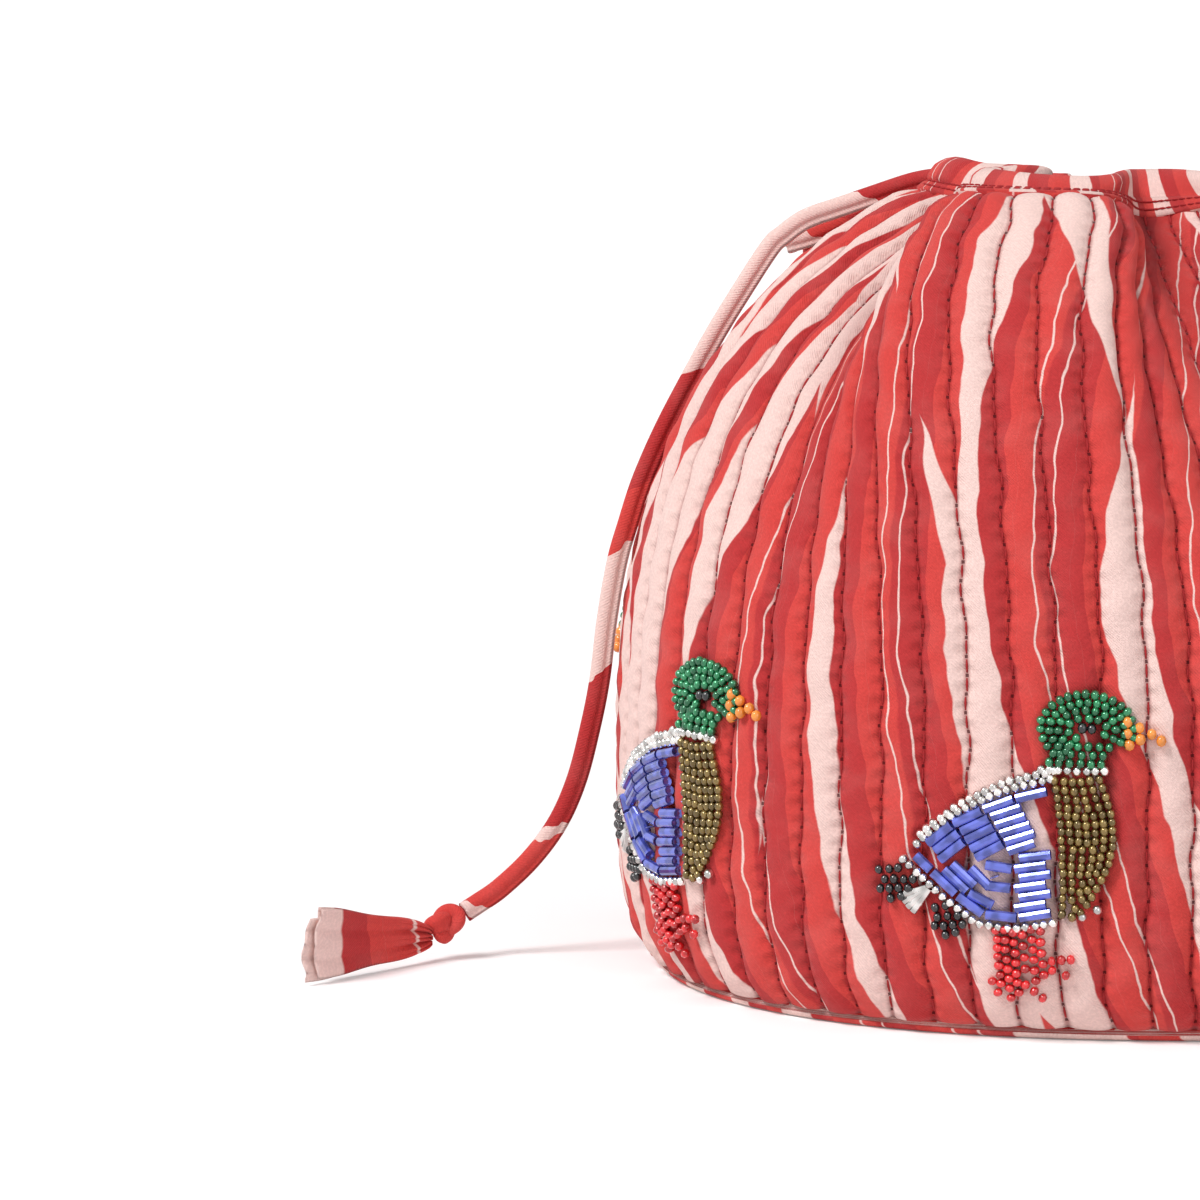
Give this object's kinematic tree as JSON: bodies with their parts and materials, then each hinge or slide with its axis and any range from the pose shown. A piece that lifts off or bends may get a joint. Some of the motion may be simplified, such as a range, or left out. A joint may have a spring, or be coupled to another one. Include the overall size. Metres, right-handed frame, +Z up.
{
  "type": "drawstring pouch",
  "caption": "Quilted cotton jewelry pouch, gathered at the neck by a cloth drawstring with tasselled tails, on a flat oval base, with beaded bird motifs round the belly.",
  "frame": {"origin": "centre of the flat base's underside, on the floor", "axes": "+Z up, front along -Y, the long side of the oval base along X, the drawstring's tails leave on the -X side"},
  "size_m": [0.327, 0.1938, 0.1785],
  "materials": {
    "quilted_cotton": "matt printed cotton, red with pale pink stripes, quilted in upright channels",
    "base_cotton": "matt printed cotton",
    "casing_cotton": "matt printed cotton with a stitched ridge",
    "cord_cotton": "matt folded cotton strip",
    "tassel_cotton": "matt folded cotton",
    "green_beads": "silver-lined green glass seed beads",
    "orange_beads": "opaque glossy orange beads",
    "gold_beads": "gold-bronze glass seed beads",
    "blue_beads": "silver-lined blue glass tube beads edged with clear silver-lined seed beads",
    "black_beads": "opaque glossy black beads",
    "red_beads": "translucent red glass seed beads"
  },
  "bodies": {
    "root": {"side_wall": "quilted_cotton", "base_panel": "base_cotton", "casing": "casing_cotton", "duck_1_head": "green_beads", "duck_1_bill": "orange_beads", "duck_1_breast": "gold_beads", "duck_1_wing": "blue_beads", "duck_1_tail": "black_beads", "duck_1_legs": "red_beads", "duck_2_head": "green_beads", "duck_2_bill": "orange_beads", "duck_2_breast": "gold_beads", "duck_2_wing": "blue_beads", "duck_2_tail": "black_beads", "duck_2_legs": "red_beads", "duck_3_head": "green_beads", "duck_3_bill": "orange_beads", "duck_3_breast": "gold_beads", "duck_3_wing": "blue_beads", "duck_3_tail": "black_beads", "duck_3_legs": "red_beads", "duck_4_head": "green_beads", "duck_4_bill": "orange_beads", "duck_4_breast": "gold_beads", "duck_4_wing": "blue_beads", "duck_4_tail": "black_beads", "duck_4_legs": "red_beads", "duck_5_head": "green_beads", "duck_5_bill": "orange_beads", "duck_5_breast": "gold_beads", "duck_5_wing": "blue_beads", "duck_5_tail": "black_beads", "duck_5_legs": "red_beads", "duck_6_head": "green_beads", "duck_6_bill": "orange_beads", "duck_6_breast": "gold_beads", "duck_6_wing": "blue_beads", "duck_6_tail": "black_beads", "duck_6_legs": "red_beads", "duck_7_head": "green_beads", "duck_7_bill": "orange_beads", "duck_7_breast": "gold_beads", "duck_7_wing": "blue_beads", "duck_7_tail": "black_beads", "duck_7_legs": "red_beads", "duck_8_head": "green_beads", "duck_8_bill": "orange_beads", "duck_8_breast": "gold_beads", "duck_8_wing": "blue_beads", "duck_8_tail": "black_beads", "duck_8_legs": "red_beads", "drawstring_front_tail": "cord_cotton", "knot_front": "cord_cotton", "tassel_front": "tassel_cotton", "drawstring_back_tail": "cord_cotton", "knot_back": "cord_cotton", "tassel_back": "tassel_cotton"}
  },
  "joints": []
}
